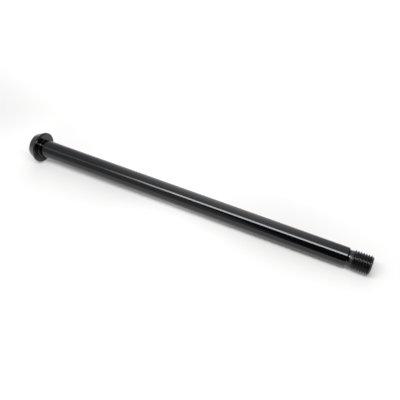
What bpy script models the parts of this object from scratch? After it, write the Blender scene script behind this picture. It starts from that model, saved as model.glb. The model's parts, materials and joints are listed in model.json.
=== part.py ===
"""Rear thru axle of a bicycle, turned from one bar of aluminium and anodised black.

The axle is modelled along its own X axis. The face of the head that bears on the frame is
at X = 0, the head's outer end is at -X and the threaded tip at +X. The finished axle is then
laid on the floor, Z = 0, where it rests on the rim of its head and on the crests of its thread.
"""
import math

import bmesh
import bpy
import numpy as np
from mathutils import Vector

MM = 0.001

# Lengths along the axle, from the seat under the head to the tip
LENGTH_UNDER_HEAD = 229.0 * MM
THREAD_LENGTH = 11.4 * MM
NECK_LENGTH = 2.5 * MM

# Head: a disc with a straight rim beside the seat and a taper to its outer end
HEAD_DIAMETER = 21.0 * MM
HEAD_THICKNESS = 6.5 * MM
HEAD_RIM_WIDTH = 1.3 * MM
HEAD_END_DIAMETER = 16.2 * MM
HEAD_EDGE_RADIUS = 0.4 * MM
SEAT_CHAMFER = 0.45 * MM
ROOT_RADIUS = 0.9 * MM

# Shank, and the neck where the thread tool runs out
SHANK_DIAMETER = 12.0 * MM
SHANK_END_CHAMFER = 0.3 * MM
NECK_DIAMETER = 10.0 * MM
NECK_RADIUS = 0.3 * MM

# Thread: M12 x 1.5, right hand, with the 60 degree form of a metric screw
THREAD_DIAMETER = 11.9 * MM
THREAD_PITCH = 1.5 * MM
FLANK_ANGLE = math.radians(30.0)
CREST_SHARE = 1.0 / 8.0
DEPTH_SHARE = 0.6134
THREAD_START_ANGLE = math.radians(30.0)
TIP_CHAMFER = 0.85 * MM

# Bore through the axle and the hexagon socket for a 6 mm key
BORE_DIAMETER = 5.5 * MM
BORE_CHAMFER = 0.35 * MM
HEXAGON_ACROSS_FLATS = 6.05 * MM
HEXAGON_DEPTH = 9.0 * MM
SOCKET_MOUTH_DIAMETER = 7.9 * MM

# Facets round the axle, steps in a quarter of a fillet, and how far a cutter overshoots
ROUND_STEPS = 48
BORE_STEPS = 32
FILLET_STEPS = 5
OVERSHOOT = 0.1 * MM
SHARP_ANGLE = math.radians(28.0)

# Places along the axle that follow from its lengths
SEAT_X = 0.0
HEAD_END_X = SEAT_X - HEAD_THICKNESS
TIP_X = SEAT_X + LENGTH_UNDER_HEAD
THREAD_START_X = TIP_X - THREAD_LENGTH
SHANK_END_X = THREAD_START_X - NECK_LENGTH
NECK_MIDDLE_X = SHANK_END_X + NECK_LENGTH / 2


def clear_scene():
    for thing in list(bpy.data.objects):
        bpy.data.objects.remove(thing, do_unlink=True)


def on_axle(x, radius, angle):
    """A point at a place along the axle, a radius and an angle round it."""
    return Vector((x, radius * math.cos(angle), radius * math.sin(angle)))


def rounded(corners):
    """Turn (x, radius, fillet) corners into an outline, with an arc at each filleted corner."""
    outline = []
    for index, (x, radius, fillet) in enumerate(corners):
        corner = Vector((x, radius))
        if fillet == 0.0:
            outline.append(corner)
            continue
        before = Vector(corners[index - 1][:2]) - corner
        after = Vector(corners[index + 1][:2]) - corner
        half_angle = before.angle(after) / 2
        reach = min(fillet / math.tan(half_angle), before.length * 0.9, after.length * 0.9)
        first = corner + before.normalized() * reach
        last = corner + after.normalized() * reach
        towards = (before.normalized() + after.normalized()).normalized()
        centre = corner + towards * (reach / math.cos(half_angle))
        start_arm = first - centre
        sweep = start_arm.angle_signed(last - centre)
        for step in range(FILLET_STEPS + 1):
            turn = -sweep * step / FILLET_STEPS
            arm = Vector((
                start_arm.x * math.cos(turn) - start_arm.y * math.sin(turn),
                start_arm.x * math.sin(turn) + start_arm.y * math.cos(turn),
            ))
            outline.append(centre + arm)
    return outline


def finish_mesh(name, bm):
    """Weld, turn the faces outwards, and make an object with smooth round faces."""
    bmesh.ops.remove_doubles(bm, verts=bm.verts[:], dist=OVERSHOOT / 1000)
    bmesh.ops.recalc_face_normals(bm, faces=bm.faces[:])
    mesh = bpy.data.meshes.new(name)
    bm.to_mesh(mesh)
    bm.free()
    mesh.shade_smooth()
    mesh.set_sharp_from_angle(angle=SHARP_ANGLE)
    thing = bpy.data.objects.new(name, mesh)
    bpy.context.collection.objects.link(thing)
    return thing


def turned(name, outline, steps):
    """Spin an outline that starts and ends on the axis, with a flat facet facing down."""
    start_angle = -math.pi / 2 + math.pi / steps
    bm = bmesh.new()
    points = [bm.verts.new(on_axle(point.x, point.y, start_angle)) for point in outline]
    lines = [bm.edges.new(pair) for pair in zip(points, points[1:])]
    bmesh.ops.spin(
        bm,
        geom=points + lines,
        cent=(0.0, 0.0, 0.0),
        axis=(1.0, 0.0, 0.0),
        angle=2 * math.pi,
        steps=steps,
        use_merge=True,
    )
    return finish_mesh(name, bm)


def make_blank():
    """The turned blank: head, root fillet, shank, neck and the bar for the thread."""
    head_radius = HEAD_DIAMETER / 2
    shank_radius = SHANK_DIAMETER / 2
    neck_radius = NECK_DIAMETER / 2
    thread_radius = THREAD_DIAMETER / 2
    corners = [
        (HEAD_END_X, 0.0, 0.0),
        (HEAD_END_X, HEAD_END_DIAMETER / 2, HEAD_EDGE_RADIUS),
        (SEAT_X - HEAD_RIM_WIDTH, head_radius, 0.0),
        (SEAT_X - SEAT_CHAMFER, head_radius, 0.0),
        (SEAT_X, head_radius - SEAT_CHAMFER, 0.0),
        (SEAT_X, shank_radius, ROOT_RADIUS),
        (SHANK_END_X - SHANK_END_CHAMFER, shank_radius, 0.0),
        (SHANK_END_X, shank_radius - SHANK_END_CHAMFER, 0.0),
        (SHANK_END_X, neck_radius, NECK_RADIUS),
        (THREAD_START_X, neck_radius, 0.0),
        (THREAD_START_X + abs(thread_radius - neck_radius), thread_radius, 0.0),
        (TIP_X - TIP_CHAMFER, thread_radius, 0.0),
        (TIP_X, thread_radius - TIP_CHAMFER, 0.0),
        (TIP_X, 0.0, 0.0),
    ]
    return turned("axle", rounded(corners), ROUND_STEPS)


def make_thread_cutter():
    """The thread tool's path: its V section spun round the axle, one pitch along each turn.

    It starts in the open neck and runs off past the tip, as the tool does on the lathe.
    """
    crest_radius = THREAD_DIAMETER / 2
    root_radius = crest_radius - DEPTH_SHARE * THREAD_PITCH
    outer_radius = crest_radius + OVERSHOOT
    crest_gap = THREAD_PITCH * (1 - CREST_SHARE)
    root_half = crest_gap / 2 - (crest_radius - root_radius) * math.tan(FLANK_ANGLE)
    outer_half = crest_gap / 2 + OVERSHOOT * math.tan(FLANK_ANGLE)
    section = [
        (-root_half, root_radius),
        (root_half, root_radius),
        (outer_half, outer_radius),
        (-outer_half, outer_radius),
    ]
    bm = bmesh.new()
    points = [
        bm.verts.new(on_axle(NECK_MIDDLE_X + along, radius, THREAD_START_ANGLE))
        for along, radius in section
    ]
    lines = [bm.edges.new(pair) for pair in zip(points, points[1:] + points[:1])]
    travel = TIP_X + THREAD_PITCH - NECK_MIDDLE_X
    steps = math.ceil(travel / THREAD_PITCH * ROUND_STEPS)
    bmesh.ops.spin(
        bm,
        geom=points + lines,
        cent=(0.0, 0.0, 0.0),
        axis=(1.0, 0.0, 0.0),
        dvec=(THREAD_PITCH / ROUND_STEPS, 0.0, 0.0),
        angle=2 * math.pi * steps / ROUND_STEPS,
        steps=steps,
    )
    bmesh.ops.holes_fill(bm, edges=bm.edges[:], sides=len(section))
    return finish_mesh("thread_cutter", bm)


def make_bore_drill():
    """The drill's path through the whole axle, opened into a cone at both ends."""
    bore_radius = BORE_DIAMETER / 2
    mouth_radius = SOCKET_MOUTH_DIAMETER / 2
    first_x = HEAD_END_X - OVERSHOOT
    last_x = TIP_X + OVERSHOOT
    outline = [
        Vector((first_x, 0.0)),
        Vector((first_x, mouth_radius + OVERSHOOT)),
        Vector((HEAD_END_X + mouth_radius - bore_radius, bore_radius)),
        Vector((TIP_X - BORE_CHAMFER, bore_radius)),
        Vector((last_x, bore_radius + BORE_CHAMFER + OVERSHOOT)),
        Vector((last_x, 0.0)),
    ]
    return turned("bore_drill", outline, BORE_STEPS)


def make_hexagon_broach():
    """The hexagon of the key, pushed in from the head's outer end, two flats level."""
    corner_radius = HEXAGON_ACROSS_FLATS / 2 / math.cos(math.pi / 6)
    first_x = HEAD_END_X - OVERSHOOT
    bm = bmesh.new()
    points = [
        bm.verts.new(on_axle(first_x, corner_radius, math.pi / 3 * corner))
        for corner in range(6)
    ]
    end_face = bm.faces.new(points)
    pushed = bmesh.ops.extrude_face_region(bm, geom=[end_face], use_keep_orig=True)
    moved = [part for part in pushed["geom"] if isinstance(part, bmesh.types.BMVert)]
    bmesh.ops.translate(bm, verts=moved, vec=(HEXAGON_DEPTH + OVERSHOOT, 0.0, 0.0))
    return finish_mesh("hexagon_broach", bm)


def cut(axle, cutters):
    """Take the cutters' volumes out of the axle, one after the other, and clear them away."""
    for cutter in cutters:
        cutter.hide_render = True
        cutter.display_type = "WIRE"
        modifier = axle.modifiers.new(cutter.name, "BOOLEAN")
        modifier.operation = "DIFFERENCE"
        modifier.solver = "EXACT"
        modifier.object = cutter
    bpy.context.view_layer.update()
    solid = axle.evaluated_get(bpy.context.evaluated_depsgraph_get())
    finished = bpy.data.meshes.new_from_object(solid)
    finished.name = axle.name
    finished.set_sharp_from_angle(angle=SHARP_ANGLE)
    axle.modifiers.clear()
    axle.data = finished
    for cutter in cutters:
        bpy.data.objects.remove(cutter)


def heights(points, lean):
    """How high each point lies when the axle leans its thread down by an angle."""
    return points[:, 2] * math.cos(lean) - points[:, 0] * math.sin(lean)


def lay_down(axle):
    """Lean the axle until head and thread touch the floor, centred over the origin."""
    points = np.array([corner.co for corner in axle.data.vertices])
    middle_x = (HEAD_END_X + TIP_X) / 2
    head_half = points[points[:, 0] < middle_x]
    thread_half = points[points[:, 0] >= middle_x]
    level = 0.0
    steep = math.atan2(HEAD_DIAMETER, LENGTH_UNDER_HEAD)
    for _ in range(40):
        lean = (level + steep) / 2
        if heights(head_half, lean).min() < heights(thread_half, lean).min():
            level = lean
        else:
            steep = lean
    along = points[:, 0] * math.cos(lean) + points[:, 2] * math.sin(lean)
    axle.rotation_euler = (0.0, lean, 0.0)
    axle.location = (
        -(along.min() + along.max()) / 2,
        0.0,
        -heights(points, lean).min(),
    )


def black_anodising():
    material = bpy.data.materials.new("black_anodised_aluminium")
    material.use_nodes = True
    shader = material.node_tree.nodes["Principled BSDF"]
    shader.inputs["Base Color"].default_value = (0.014, 0.014, 0.016, 1.0)
    shader.inputs["Roughness"].default_value = 0.28
    shader.inputs["Metallic"].default_value = 0.4
    return material


def main():
    clear_scene()
    axle = make_blank()
    axle.data.materials.append(black_anodising())
    cut(axle, [make_thread_cutter(), make_bore_drill(), make_hexagon_broach()])
    lay_down(axle)


main()
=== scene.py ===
# %% [markdown]
# # A rear thru axle in black anodised aluminium
#
# A thru axle is one turned rod. It goes through the frame and the wheel's hub, its head
# bears on one side of the frame and its thread screws into the other. This lesson models it
# again with a surface fine enough for close views, gives it its anodised finish, and lights
# it on a pale floor. The packed part is loaded first, as a frame that nothing here may move.

# %% Load the part as a fixed frame
import json
import math

import bmesh
import bpy
from mathutils import Matrix, Vector


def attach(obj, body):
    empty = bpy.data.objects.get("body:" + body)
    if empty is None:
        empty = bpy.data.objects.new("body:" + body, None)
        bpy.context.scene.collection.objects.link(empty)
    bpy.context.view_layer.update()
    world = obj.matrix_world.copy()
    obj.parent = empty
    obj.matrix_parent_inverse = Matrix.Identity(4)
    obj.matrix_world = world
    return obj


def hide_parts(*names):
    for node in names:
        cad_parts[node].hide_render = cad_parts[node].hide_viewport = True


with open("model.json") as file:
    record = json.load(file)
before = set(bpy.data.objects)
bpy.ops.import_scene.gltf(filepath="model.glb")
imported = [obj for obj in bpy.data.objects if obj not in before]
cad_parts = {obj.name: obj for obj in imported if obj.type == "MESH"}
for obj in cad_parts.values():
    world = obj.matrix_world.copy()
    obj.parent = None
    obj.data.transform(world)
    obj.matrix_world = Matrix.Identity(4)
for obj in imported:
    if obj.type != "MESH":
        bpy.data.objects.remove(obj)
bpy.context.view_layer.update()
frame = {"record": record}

mm = 0.001

# %% [markdown]
# The axle doesn't lie level: its head is wider than its thread, so it leans a little, and a
# model drawn straight along X has to be turned and moved to lie in its place. The lean could
# be worked out again from the radii, but the part's record already holds it: each flat face
# that something bears on has a position and a direction. The seat under the head is the
# natural zero of a bolt, so lengths are counted from there, towards the tip. The recorded
# point lies beside the bore, level with the axis, so only its y is set to zero.

# %% Find the axle's own axis and lengths
mounts = {mount["name"]: mount for mount in frame["record"]["mounts"]}
seat_point = Vector(mounts["seat_under_head"]["pos_m"])
along = Vector(mounts["seat_under_head"]["axis"]).normalized()
seat_centre = Vector((seat_point.x, 0.0, seat_point.z))
lean = math.asin(-along.z)
axle_frame = Matrix.Translation(seat_centre) @ Matrix.Rotation(lean, 4, "Y")

tip_x = (Vector(mounts["threaded_tip"]["pos_m"]) - seat_point).dot(along)
head_end_x = (Vector(mounts["head_end"]["pos_m"]) - seat_point).dot(along)
print(f"lean {math.degrees(lean):.2f} degrees, seat to tip {tip_x / mm:.1f} mm")

# %% [markdown]
# A turned part is drawn as half of its section and spun. Here the section is a closed
# outline: down the outside from the head to the tip, and back through the bore. Drawing it
# as a face first has a use: bmesh's bevel can then round any of its corners by its own
# radius, as the lathe tool's nose does, and the arcs need no maths of our own. Only the
# face's border is spun, so the face itself goes before the spin.

# %% A section with rounded corners, spun into a solid
corner_segments = 6
weld_distance = 0.0001 * mm


def draw_section(corners):
    """Draw a face through (along, radius, rounding) corners and round each corner."""
    section = bmesh.new()
    points = [section.verts.new((x, radius, 0.0)) for x, radius, rounding in corners]
    section.faces.new(points)
    for point, (x, radius, rounding) in zip(points, corners):
        if rounding:
            bmesh.ops.bevel(
                section,
                geom=[point],
                offset=rounding,
                offset_type="OFFSET",
                segments=corner_segments,
                profile=0.5,
                affect="VERTICES",
                material=-1,
            )
    bmesh.ops.delete(section, geom=section.faces[:], context="FACES_ONLY")
    return section


def solid_from(section, name):
    """Close a spun section into an object with its faces turned outwards."""
    bmesh.ops.remove_doubles(section, verts=section.verts[:], dist=weld_distance)
    bmesh.ops.recalc_face_normals(section, faces=section.faces[:])
    mesh = bpy.data.meshes.new(name)
    section.to_mesh(mesh)
    section.free()
    solid = bpy.data.objects.new(name, mesh)
    bpy.context.collection.objects.link(solid)
    return solid


print(f"each rounded corner gets {corner_segments} segments")

# %% [markdown]
# The head bears on the frame with its flat seat. Its outside is a short rim and a long taper
# to the end where the key goes in, and a small fillet joins the seat to the shank. It could
# be a cone and a disc joined by a Boolean, but one outline needs no joining. Each corner has
# its own rounding, since an edge that is left quite sharp catches no light.

# %% The head's outline
edge_break = 0.08 * mm
head_radius = 10.5 * mm
head_end_radius = 8.1 * mm
head_end_rounding = 0.25 * mm
rim_width = 1.3 * mm
rim_rounding = 0.15 * mm
seat_chamfer = 0.45 * mm
shank_radius = 6.0 * mm
root_radius = 0.45 * mm

head_corners = [
    (head_end_x, head_end_radius, head_end_rounding),
    (-rim_width, head_radius, rim_rounding),
    (-seat_chamfer, head_radius, edge_break),
    (0.0, head_radius - seat_chamfer, edge_break),
    (0.0, shank_radius, root_radius),
]
print(f"head {2 * head_radius / mm:.1f} mm across, {-head_end_x / mm:.1f} mm thick")

# %% [markdown]
# The shank goes through the hub. After its chamfered end comes a neck, where the thread tool
# can run in, then a slope up to the height of the crests and the bar that the thread is cut
# from. On the lathe all this is one bar in one clamping, so it stays in the same outline.
# The tip's corners aren't rounded, because the cut of the thread breaks them up.

# %% The outline of the shank, the neck and the bar for the thread
shank_end_chamfer = 0.3 * mm
shank_end_chamfer_length = 0.5 * mm
neck_radius = 5.0 * mm
neck_length = 1.9 * mm
neck_rounding = 0.3 * mm
thread_radius = 5.95 * mm
thread_length = 11.95 * mm
thread_lead_in = 1.75 * mm
tip_chamfer = 0.85 * mm

thread_start_x = tip_x - thread_length
shank_end_x = thread_start_x - neck_length
shaft_corners = [
    (shank_end_x - shank_end_chamfer_length, shank_radius, edge_break),
    (shank_end_x, shank_radius - shank_end_chamfer, edge_break),
    (shank_end_x, neck_radius, neck_rounding),
    (thread_start_x, neck_radius, 0.0),
    (thread_start_x + thread_lead_in, thread_radius, 0.0),
    (tip_x - tip_chamfer, thread_radius, 0.0),
    (tip_x, thread_radius - tip_chamfer, 0.0),
]
print(f"shank {shank_end_x / mm:.2f} mm long, neck {neck_length / mm:.2f} mm")

# %% [markdown]
# The axle is drilled through, which saves weight, and both mouths are chamfered. The one at
# the head is wide enough for the corners of a hexagon key. A Boolean could drill it, but
# here the outline just runs back through the inside, and the spin makes the bore with the
# rest. A spin of 240 steps keeps the shank round up close.

# %% The outline of the bore, and the spin
turning_steps = 240
bore_radius = 2.75 * mm
bore_chamfer = 0.35 * mm
socket_mouth_radius = 3.95 * mm

bore_corners = [
    (tip_x, bore_radius + bore_chamfer, edge_break),
    (tip_x - bore_chamfer, bore_radius, edge_break),
    (head_end_x + socket_mouth_radius - bore_radius, bore_radius, edge_break),
    (head_end_x, socket_mouth_radius, edge_break),
]
section = draw_section(head_corners + shaft_corners + bore_corners)
bmesh.ops.spin(
    section,
    geom=section.verts[:] + section.edges[:],
    cent=(0.0, 0.0, 0.0),
    axis=(1.0, 0.0, 0.0),
    angle=2 * math.pi,
    steps=turning_steps,
    use_merge=True,
)
axle = solid_from(section, "axle_surface")
print("turned blank:", len(axle.data.polygons), "faces")

# %% [markdown]
# The thread could be a bump in the material, but its crests show in the axle's outline, so
# it is cut. It is cut as the lathe cuts it: a V-shaped tool goes round while it moves along
# by one pitch a turn. The tool's section comes from the metric thread's rules, which give
# the height and the flats as shares of the pitch. It also flares out at the height of the
# crests, which breaks their two sharp edges.

# %% Draw the thread tool's section
pitch = 1.5 * mm
flank_slope = math.tan(math.radians(30.0))
thread_depth = 0.6134 * pitch
crest_flat = pitch / 8
crest_gap_half = (pitch - crest_flat) / 2
crest_break = 0.03 * mm
groove_radius = thread_radius - thread_depth
groove_half = crest_gap_half - thread_depth * flank_slope
groove_rounding = 0.08 * mm
overshoot = 0.1 * mm

flare_radius = thread_radius + overshoot / 2
flare_half = pitch / 2 - crest_break
lip_radius = thread_radius - crest_break
lip_half = crest_gap_half - crest_break * flank_slope
tool_corners = [
    (-groove_half, groove_radius, groove_rounding),
    (groove_half, groove_radius, groove_rounding),
    (lip_half, lip_radius, 0.0),
    (flare_half, flare_radius, 0.0),
    (-flare_half, flare_radius, 0.0),
    (-lip_half, lip_radius, 0.0),
]
tool = draw_section(tool_corners)
tool_outline = len(tool.verts)
print(f"thread {thread_depth / mm:.2f} mm deep, tool of {tool_outline} corners")

# %% [markdown]
# Spin can turn and move at once, because its dvec moves each step, and the two together
# make a helix. It slows down over many turns, though, so only the first turn is spun, and
# the others are its copies, each one pitch further on. The tool goes in at the neck, where
# the shaft is already thinner than the thread at its grooves, and runs off past the tip.
# The angle that it goes in at decides where the crests stand.

# %% Sweep the thread tool along its helix
tool_way_to_tip = 12.65 * mm
tool_start_x = tip_x - tool_way_to_tip
thread_start_angle = math.radians(30.4)
turns_weld_distance = 0.001 * mm

bmesh.ops.rotate(
    tool,
    verts=tool.verts[:],
    cent=(0.0, 0.0, 0.0),
    matrix=Matrix.Rotation(thread_start_angle, 3, "X"),
)
bmesh.ops.spin(
    tool,
    geom=tool.verts[:] + tool.edges[:],
    cent=(0.0, 0.0, 0.0),
    axis=(1.0, 0.0, 0.0),
    dvec=(pitch / turning_steps, 0.0, 0.0),
    angle=2 * math.pi,
    steps=turning_steps,
)
first_turn = tool.verts[:] + tool.edges[:] + tool.faces[:]
turns = math.ceil((tool_way_to_tip + pitch) / pitch)
for turn in range(1, turns):
    copied = bmesh.ops.duplicate(tool, geom=first_turn)["geom"]
    points = [part for part in copied if isinstance(part, bmesh.types.BMVert)]
    bmesh.ops.translate(tool, verts=points, vec=(turn * pitch, 0.0, 0.0))
bmesh.ops.remove_doubles(tool, verts=tool.verts[:], dist=turns_weld_distance)
bmesh.ops.holes_fill(tool, edges=tool.edges[:], sides=tool_outline)
bmesh.ops.translate(tool, verts=tool.verts[:], vec=(tool_start_x, 0.0, 0.0))
thread_tool = solid_from(tool, "thread_tool")
print(f"thread tool: {turns} turns of {pitch / mm:.1f} mm pitch")

# %% [markdown]
# The hexagon socket takes a 6 mm key. A spun section is round and can't hold it, so it is a
# cut of its own: a broach is pushed into the head. A broach's corners are never quite sharp,
# so the six long edges get a small bevel before the cut.

# %% Push the hexagon broach into the head
across_flats = 6.05 * mm
socket_depth = 9.0 * mm
hexagon_sides = 6
broach_corner = 0.12 * mm
broach_corner_segments = 3

half_side_angle = math.pi / hexagon_sides
broach = bmesh.new()
bmesh.ops.create_circle(
    broach,
    cap_ends=True,
    segments=hexagon_sides,
    radius=across_flats / 2 / math.cos(half_side_angle),
    matrix=Matrix.Translation((head_end_x - overshoot, 0.0, 0.0))
    @ Matrix.Rotation(math.pi / 2, 4, "Y")
    @ Matrix.Rotation(half_side_angle, 4, "Z"),
)
pushed = bmesh.ops.extrude_face_region(broach, geom=broach.faces[:], use_keep_orig=True)
far_end = [part for part in pushed["geom"] if isinstance(part, bmesh.types.BMVert)]
bmesh.ops.translate(broach, verts=far_end, vec=(socket_depth + overshoot, 0.0, 0.0))
long_edges = [edge for edge in broach.edges
              if abs(edge.verts[0].co.x - edge.verts[1].co.x) > socket_depth / 2]
bmesh.ops.bevel(
    broach,
    geom=long_edges,
    offset=broach_corner,
    segments=broach_corner_segments,
    profile=0.5,
    affect="EDGES",
    material=-1,
)
hexagon_broach = solid_from(broach, "hexagon_broach")
print(f"hexagon {across_flats / mm:.2f} mm across flats, {socket_depth / mm:.0f} mm deep")

# %% [markdown]
# The real axle loses metal to both tools, and so does the mesh. Each tool is a Boolean
# modifier with the exact solver, which copes with faces that nearly coincide. The result is
# read back as a plain mesh, so the modifiers needn't stay, and the tools are removed.

# %% Cut the thread and the socket
for cutter in (thread_tool, hexagon_broach):
    modifier = axle.modifiers.new(cutter.name, "BOOLEAN")
    modifier.operation = "DIFFERENCE"
    modifier.solver = "EXACT"
    modifier.object = cutter
bpy.context.view_layer.update()
cut_mesh = bpy.data.meshes.new_from_object(
    axle.evaluated_get(bpy.context.evaluated_depsgraph_get())
)
axle.modifiers.clear()
axle.data = cut_mesh
for cutter in (thread_tool, hexagon_broach):
    bpy.data.objects.remove(cutter)
triangles = sum(len(polygon.vertices) - 2 for polygon in cut_mesh.polygons)
print("axle surface:", triangles, "triangles")

# %% [markdown]
# Now the mesh is moved to where the real axle lies. The object itself stays at the origin,
# so that patterns on Object coordinates stay put. Smooth shading would blur the flat faces
# beside the small rounded edges, and flat shading would show the facets. So the mesh is
# smooth, and a Weighted Normal modifier lets the large faces set the shading.

# %% Lay the axle in its place
sharp_from_angle = math.radians(32.0)

cut_mesh.transform(axle_frame)
cut_mesh.shade_smooth()
cut_mesh.set_sharp_from_angle(angle=sharp_from_angle)
weighted = axle.modifiers.new("flat_faces_stay_flat", "WEIGHTED_NORMAL")
weighted.keep_sharp = True

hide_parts("axle")
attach(axle, "root")
lowest = min(point.co.z for point in cut_mesh.vertices)
print(f"lowest point of the surface: z = {lowest / mm:.3f} mm")

# %% [markdown]
# Materials are written as sums. One small class wraps a node's output, so that adding or
# multiplying two of them adds the Math node that does it. Its reflected forms let a number
# stand first, as in 1 - mask. Every other node comes from its one method for nodes.

# %% A small language for shader nodes
class Wire:
    """One output of a material's nodes, which can stand in a sum like a number."""

    def __init__(self, tree, socket=None):
        self.tree = tree
        self.socket = socket

    def node(self, kind, settings=None, inputs=None, output=0):
        """Add a node: its settings first, then the values or wires of its inputs."""
        made = self.tree.nodes.new(kind)
        for name, value in (settings or {}).items():
            setattr(made, name, value)
        for name, value in (inputs or {}).items():
            if isinstance(value, Wire):
                self.tree.links.new(value.socket, made.inputs[name])
            else:
                made.inputs[name].default_value = value
        return Wire(self.tree, made.outputs[output])

    def part(self, axis):
        """One of the three numbers of a place or direction."""
        return self.node("ShaderNodeSeparateXYZ", inputs={"Vector": self}, output=axis)

    def math(self, operation, first, second=0.0):
        return self.node("ShaderNodeMath", {"operation": operation}, {0: first, 1: second})

    def __add__(self, other):
        return self.math("ADD", self, other)

    def __radd__(self, other):
        return self.math("ADD", other, self)

    def __sub__(self, other):
        return self.math("SUBTRACT", self, other)

    def __rsub__(self, other):
        return self.math("SUBTRACT", other, self)

    def __mul__(self, other):
        return self.math("MULTIPLY", self, other)

    def __rmul__(self, other):
        return self.math("MULTIPLY", other, self)

    def __pow__(self, other):
        return self.math("POWER", self, other)


reflected = [name for name in vars(Wire) if name.startswith("__r")]
print("a number may stand first in:", reflected)

# %% [markdown]
# A finish that follows the lathe's work has to know how far along the axle a point lies, and
# at what radius. The axle leans, so its Object coordinates don't say it directly. An empty
# that lies like the axle could give them, but a Mapping node needs no other object. It takes
# the lean away, and then the place along the axle is plain x.

# %% Places along the axle and around it
def new_material(name):
    """A material, its Principled shader and a wire with the place on its object."""
    material = bpy.data.materials.new(name)
    material.use_nodes = True
    shader = material.node_tree.nodes["Principled BSDF"]
    place = Wire(material.node_tree).node("ShaderNodeTexCoord", output="Object")
    return material, shader, place


finish, shader, place = new_material("black_anodised")
back_to_axle = axle_frame.inverted()
local = place.node(
    "ShaderNodeMapping",
    {"vector_type": "POINT"},
    {
        "Vector": place,
        "Location": back_to_axle.to_translation(),
        "Rotation": back_to_axle.to_euler(),
    },
)
local_x = local.part("X")
local_y = local.part("Y")
local_z = local.part("Z")
radius = (local_y * local_y + local_z * local_z) ** 0.5
print("finish so far:", len(finish.node_tree.nodes), "nodes")

# %% [markdown]
# The lathe's feed leaves fine rings on the metal, and they still show under the finish.
# They follow the distance that the tool travelled over the surface, which is the place along
# the axle on the shank and the radius on the flat faces. A ring pattern for each would need
# a border between them, but a noise that reads the sum of the two gives rings on both.

# %% The rings that the lathe left
feed_ring_width = 0.22 * mm
feed_ring_detail = 2.0
wide_ring_width = 5.0 * mm
wide_ring_detail = 1.0
ring_fineness = 0.6
speck_width = 0.35 * mm
speck_detail = 2.0

travel = local_x + radius


def rings(width, detail):
    """Noise along the tool's travel, with rings about as wide as asked."""
    return travel.node(
        "ShaderNodeTexNoise",
        {"noise_dimensions": "1D"},
        {"W": travel, "Scale": 1 / width, "Detail": detail, "Roughness": ring_fineness},
        output="Fac",
    )


feed_rings = rings(feed_ring_width, feed_ring_detail)
wide_rings = rings(wide_ring_width, wide_ring_detail)
specks = place.node(
    "ShaderNodeTexNoise",
    inputs={"Vector": place, "Scale": 1 / speck_width, "Detail": speck_detail},
    output="Fac",
)
print(f"feed rings about {feed_ring_width / mm:.2f} mm wide")

# %% [markdown]
# The thread's crests are what is left of the turned bar and shine like it. Its grooves are
# cut by the V tool and stay duller, and so does the neck's end beside them. The grooves
# could be a material of their own, but a mask of the place along the axle and the radius
# lets the roughness grow in them without a seam. The mask is a product of two ramps. A ramp
# turns a place into a level, and it may run backwards, as here from the crests inwards.

# %% Where the finish shines and where it is dull
plain_roughness = 0.06
ring_roughness = 0.02
speck_roughness = 0.01
groove_roughness = 0.26
dull_from_x = thread_start_x - 1.1 * mm
dull_fully_x = thread_start_x - 0.5 * mm
dull_from_radius = thread_radius - 0.05 * mm
dull_fully_radius = thread_radius - 0.2 * mm


def ramp(value, start, end, level, interpolation="SMOOTHSTEP"):
    """A level that grows from nothing at the start to its full value at the end."""
    return value.node(
        "ShaderNodeMapRange",
        {"interpolation_type": interpolation},
        {"Value": value, "From Min": start, "From Max": end, "To Min": 0.0, "To Max": level},
    )


in_thread = ramp(local_x, dull_from_x, dull_fully_x, 1.0)
in_groove = ramp(radius, dull_from_radius, dull_fully_radius, groove_roughness)
uneven = ring_roughness * wide_rings + ring_roughness * feed_rings + speck_roughness * specks
roughness = plain_roughness + uneven + in_thread * in_groove
print(f"roughness from {plain_roughness} up, {groove_roughness} more in the grooves")

# %% [markdown]
# Anodising turns the aluminium's skin into a clear, glassy oxide, and black dye fills it.
# So the finish isn't bare metal, and it isn't paint: it is nearly black, with the weak, even
# gloss of glass. A metallic value of zero and glass's index of refraction give that gloss,
# and the rings and specks stir the colour and the height a very little.

# %% The black anodised finish
darkest_black = (0.0016, 0.0016, 0.0020, 1.0)
palest_black = (0.0030, 0.0030, 0.0036, 1.0)
pattern_share = 0.5
mix_first, mix_second, mix_result = 6, 7, 2
bump_strength = 0.2
bump_height = 0.0001 * mm
speck_height_share = 0.3
glass_ior = 1.5

colour = place.node(
    "ShaderNodeMix",
    {"data_type": "RGBA"},
    {
        "Factor": feed_rings * pattern_share + specks * pattern_share,
        mix_first: darkest_black,
        mix_second: palest_black,
    },
    output=mix_result,
)
height = feed_rings + speck_height_share * specks
bump = place.node(
    "ShaderNodeBump",
    inputs={"Strength": bump_strength, "Distance": bump_height, "Height": height},
    output="Normal",
)
finish_links = finish.node_tree.links
finish_links.new(colour.socket, shader.inputs["Base Color"])
finish_links.new(roughness.socket, shader.inputs["Roughness"])
finish_links.new(bump.socket, shader.inputs["Normal"])
shader.inputs["IOR"].default_value = glass_ior
shader.inputs["Metallic"].default_value = 0.0
axle.data.materials.clear()
axle.data.materials.append(finish)
print("black anodised:", len(finish.node_tree.nodes), "nodes")

# %% [markdown]
# The floor is one plain sheet. It has to stay a real surface, because the shadow under the
# shank is what shows that the axle lies on it. The sheet is turned to face the camera and
# ends just in front of the picture, so that the shank's near side mirrors the dark room
# there and not more white floor.

# %% The floor's sheet
floor_half = 3.0
floor_in_front = 0.14
camera_heading = math.radians(24.925)

floor = bmesh.new()
bmesh.ops.create_grid(
    floor,
    x_segments=1,
    y_segments=1,
    size=floor_half,
    matrix=Matrix.Rotation(camera_heading, 4, "Z")
    @ Matrix.Translation((0.0, floor_half - floor_in_front, 0.0)),
)
floor_mesh = bpy.data.meshes.new("floor")
floor.to_mesh(floor_mesh)
floor.free()
floor_object = bpy.data.objects.new("floor", floor_mesh)
bpy.context.collection.objects.link(floor_object)
print(f"floor ends {floor_in_front / mm:.0f} mm in front of the axle's middle")

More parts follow.
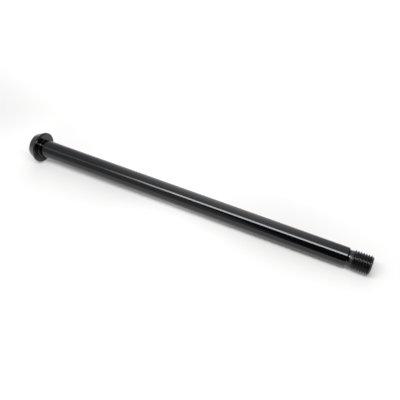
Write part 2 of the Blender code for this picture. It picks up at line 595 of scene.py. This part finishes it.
# %% [markdown]
# A pale sheet that is a little overexposed looks whiter than its paint. A paler paint would
# also light the axle from below, so the floor glows weakly instead, and not evenly. Near the
# axle the unevenness is painted light and shade. The glow is weak at the threaded end and in
# front of the head's half, which paints shade there, and stronger at the head's side and
# beyond the head, which paints light into the shadow there. There is none in a strip under
# and just behind the axle. That is a painted shadow, where a real floor lies in shadow and
# the glossy seat would mirror it. Each pair below says where a ramp starts and where it is
# full, along the floor's x, which is the axle's length, or its y.

# %% The floor's glow near the axle, with painted shadow and light
least_glow = 0.03
# Painted light beside and beyond the head, and painted shade in front of its half:
head_side = (90.0 * mm, -30.0 * mm)
head_side_painted_light = 0.22
beyond_head = (-116.0 * mm, -145.0 * mm)
beyond_head_painted_light = 0.3
head_half = (0.0, -60.0 * mm)
head_half_painted_shade = 0.12
# The strip of painted shadow under and just behind the axle:
shadow_strip_front = (-0.2 * mm, -1.4 * mm)
shadow_strip_back = (10.0 * mm, 14.0 * mm)
shadow_strip_head_end = (-104.0 * mm, -112.0 * mm)
shadow_strip_tip_end = (115.0 * mm, 121.0 * mm)

pale, pale_shader, floor_place = new_material("pale_floor")
floor_x = floor_place.part("X")
floor_y = floor_place.part("Y")
# A mask that leaves the glow out of the strip, which paints the shadow there.
in_front = ramp(floor_y, *shadow_strip_front, 1.0)
across_shadow_strip = in_front + ramp(floor_y, *shadow_strip_back, 1.0)
past_shadow_strip_ends = ramp(floor_x, *shadow_strip_head_end, 1.0) + ramp(floor_x, *shadow_strip_tip_end, 1.0)
outside_painted_shadow = floor_place.math("MAXIMUM", across_shadow_strip, past_shadow_strip_ends)

# Glow that paints light into the shadow at the head's side and beyond the head, and less of
# it, as painted shade, at the threaded end.
near_painted_light_and_shade = least_glow + ramp(floor_x, *head_side, head_side_painted_light)
near_painted_light_and_shade = near_painted_light_and_shade + ramp(floor_x, *beyond_head, beyond_head_painted_light)
# Less glow in front of the head's half paints a soft shade on the floor there.
near_painted_light_and_shade = near_painted_light_and_shade - in_front * ramp(floor_x, *head_half, head_half_painted_shade)
near_painted_light_and_shade = near_painted_light_and_shade * outside_painted_shadow
print("floor's glow near the axle:", len(pale.node_tree.nodes), "nodes")

# %% [markdown]
# Away from the axle's middle the glow evens out, and it grows towards the back, where the
# picture is white. A lamp could do that too, but it would also fill the shadow. The Light
# Path node keeps the glow to rays from the camera, off a gloss or through glass, so it is
# seen, and seen in the axle's gloss, and lights nothing.

# %% The floor's glow far away, and its paint
floor_paint = (0.655, 0.632, 0.606, 1.0)
floor_roughness = 0.9
lengthwise_share = 0.16
near_to_far = (12.0 * mm, 80.0 * mm)
far_glow = 0.3
to_the_back = (10.0 * mm, 180.0 * mm)
back_glow = 0.6

apart = (lengthwise_share * floor_x * floor_x + floor_y * floor_y) ** 0.5
far_share = ramp(apart, *near_to_far, 1.0)
# Near the axle the glow keeps its painted shadow and light; far from it the glow is even.
glow = near_painted_light_and_shade + far_share * (far_glow - near_painted_light_and_shade)
glow = glow + ramp(floor_y, *to_the_back, back_glow)
seen_directly = floor_place.node("ShaderNodeLightPath", output="Is Camera Ray")
seen_in_gloss = floor_place.node("ShaderNodeLightPath", output="Is Glossy Ray")
seen_through = floor_place.node("ShaderNodeLightPath", output="Is Transmission Ray")
seen_at_all = seen_directly + seen_in_gloss + seen_through

floor_links = pale.node_tree.links
floor_links.new(glow.socket, pale_shader.inputs["Emission Color"])
floor_links.new(seen_at_all.socket, pale_shader.inputs["Emission Strength"])
pale_shader.inputs["Base Color"].default_value = floor_paint
pale_shader.inputs["Roughness"].default_value = floor_roughness
pale_shader.inputs["Specular IOR Level"].default_value = 0.0
floor_mesh.materials.append(pale)
print("pale floor:", len(pale.node_tree.nodes), "nodes")

# %% [markdown]
# Black gloss shows the room more than it shows its own colour, so the room matters. Walls
# with lamps could make it, but the world's background can stand for them all, and then only
# the direction counts. Two measures of it are enough. One is the angle that runs from the
# camera's side over the top to the far side. The other is how far the direction points to
# the camera's right.

# %% Measure directions in the room
away = Vector((-math.sin(camera_heading), math.cos(camera_heading), 0.0))
right = Vector((math.cos(camera_heading), math.sin(camera_heading), 0.0))

world = bpy.data.worlds.new("studio")
bpy.context.scene.world = world
world.use_nodes = True
sky = world.node_tree
direction = Wire(sky).node("ShaderNodeTexCoord", output="Generated")


def along_way(way):
    """How far a direction of the room points along one way."""
    return direction.node(
        "ShaderNodeVectorMath",
        {"operation": "DOT_PRODUCT"},
        {0: direction, 1: way},
        output="Value",
    )


to_the_right = along_way(right)
over_the_top = direction.math("ARCTAN2", direction.part("Z"), -1 * along_way(away))
print("away from the camera:", [round(size, 3) for size in away])

# %% [markdown]
# The room is dark on the side where the camera stands, up to nearly overhead, which keeps
# the shank's near side black. Behind that come a dim ceiling and far wall, which fade to
# the right, and a brighter window stands in the far wall and gains light downwards. The
# shank's top mirrors them as the soft bands beside the lamp's bright line.

# %% The dim far side of the room and its window
lit_angles = (math.radians(76.0), math.radians(84.0))
dim_level = 0.55
right_fade = (0.6, 0.25)
right_share = 0.25
window_angles = (math.radians(92.0), math.radians(145.0))
window_top_place = -0.15
window_shift = 0.3
window_half_width = 0.42
window_level = 0.45
window_low_level = 0.75

lit = ramp(over_the_top, *lit_angles, 1.0)
not_far_right = right_share + ramp(to_the_right, *right_fade, 1.0 - right_share)
dim_room = dim_level * lit * not_far_right

low_share = ramp(over_the_top, *window_angles, 1.0, "LINEAR")
window_place = window_top_place + window_shift * low_share
off_window = direction.math("ABSOLUTE", to_the_right - window_place)
window_light = window_level + window_low_level * low_share
window = ramp(off_window, window_half_width, 0.0, 1.0) * window_light * lit
print("dim room and window:", len(sky.nodes), "nodes")

# %% [markdown]
# A dim wall also stands on the left, on the camera's side too, where the head's taper faces
# it. Where it overlaps the rest of the room, the brighter of the two counts. A plain sum
# would make it brightest there. The whole room is a little blue, as daylight is.

# %% The left wall and the room's colour
left_wall_edge = (-0.44, -0.62)
left_wall_level = 0.46
room_tint = (0.98, 1.0, 1.04)

left_wall = ramp(to_the_right, *left_wall_edge, left_wall_level)
level = direction.math("MAXIMUM", dim_room + window, left_wall)
room_colour = direction.node(
    "ShaderNodeVectorMath",
    {"operation": "SCALE"},
    {0: room_tint, "Scale": level},
)
sky.links.new(room_colour.socket, sky.nodes["Background"].inputs["Color"])
print("room:", len(sky.nodes), "nodes")

# %% [markdown]
# A strip lamp hangs nearly overhead, a little towards the camera. It draws the bright line
# along the shank and the edge of the shadow. It isn't quite parallel to the axle, so the
# line climbs towards the shank's middle at the head end. It also fades there. One lamp has
# one strength, so the strip is hung in five lengths, each weaker than the next one towards
# the tip. The points of its line are metres in the plan, seen from above.

# %% Where the strip lamp hangs
lamp_height = 0.25
lamp_width = 0.072
lamp_tint = (0.97, 1.0, 1.04)
lamp_line = [
    (-0.300, -0.161),
    (-0.190, -0.139),
    (-0.165, -0.134),
    (-0.140, -0.129),
    (-0.100, -0.120),
    (0.200, -0.052),
]
lamp_radiances = [0.9, 2.5, 3.9, 8.0, 11.5]
print("lamp in", len(lamp_radiances), "lengths, radiances", lamp_radiances)

# %% [markdown]
# Each length is a flat area lamp between two points of the line. It is turned so that its
# long side follows the line and its face looks down at the axle. An area lamp's strength is
# its power, so the power comes from the radiance that the gloss should mirror, times the
# lamp's area and pi.

# %% Hang the strip lamp
def hang_strip(name, start, end, width, radiance):
    """Hang a strip between two points of the plan, facing the axle below."""
    start = Vector((start[0], start[1], lamp_height))
    end = Vector((end[0], end[1], lamp_height))
    light = bpy.data.lights.new(name, "AREA")
    light.shape = "RECTANGLE"
    light.size = (end - start).length
    light.size_y = width
    light.energy = math.pi * light.size * light.size_y * radiance
    light.color = lamp_tint
    strip = bpy.data.objects.new(name, light)
    bpy.context.collection.objects.link(strip)
    strip.location = (start + end) / 2
    lengthwise = (end - start).normalized()
    back = Vector((0.0, strip.location.y, strip.location.z))
    back = (back - lengthwise * back.dot(lengthwise)).normalized()
    turned = Matrix((lengthwise, back.cross(lengthwise), back)).transposed()
    strip.rotation_euler = turned.to_euler()
    return light.size


for start, end, radiance in zip(lamp_line, lamp_line[1:], lamp_radiances):
    strip_length = hang_strip("strip_lamp", start, end, lamp_width, radiance)
    print(f"strip {strip_length / mm:.0f} mm long, radiance {radiance}")

# %% [markdown]
# The camera stands close, so the near end of the axle looks larger than the far end. Its
# place and lens could be tried by eye, but they come from the axle's own outlines: both
# edges of the shank, the seat and the crests of the thread have to fall where they should.

# %% The camera
camera_data = bpy.data.cameras.new("camera")
camera = bpy.data.objects.new("camera", camera_data)
bpy.context.collection.objects.link(camera)
camera_data.sensor_width = 36.0
camera_data.lens = 43.511
camera_data.clip_start = 0.01
camera_tilt = math.radians(47.458)
camera_roll = math.radians(0.129)
camera.location = (0.09588, -0.18636, 0.23579)
camera.rotation_euler = (
    Matrix.Rotation(camera_heading, 3, "Z")
    @ Matrix.Rotation(math.pi / 2 - camera_tilt, 3, "X")
    @ Matrix.Rotation(camera_roll, 3, "Z")
).to_euler()
bpy.context.scene.camera = camera
bpy.context.scene.view_settings.view_transform = "Standard"
print(f"camera {camera.location.length / mm:.0f} mm from the axle's middle")

# %% [markdown]
# The finer surface has to fill the part's box and not much more.

# %% Bring the scene up to date
bpy.context.view_layer.update()
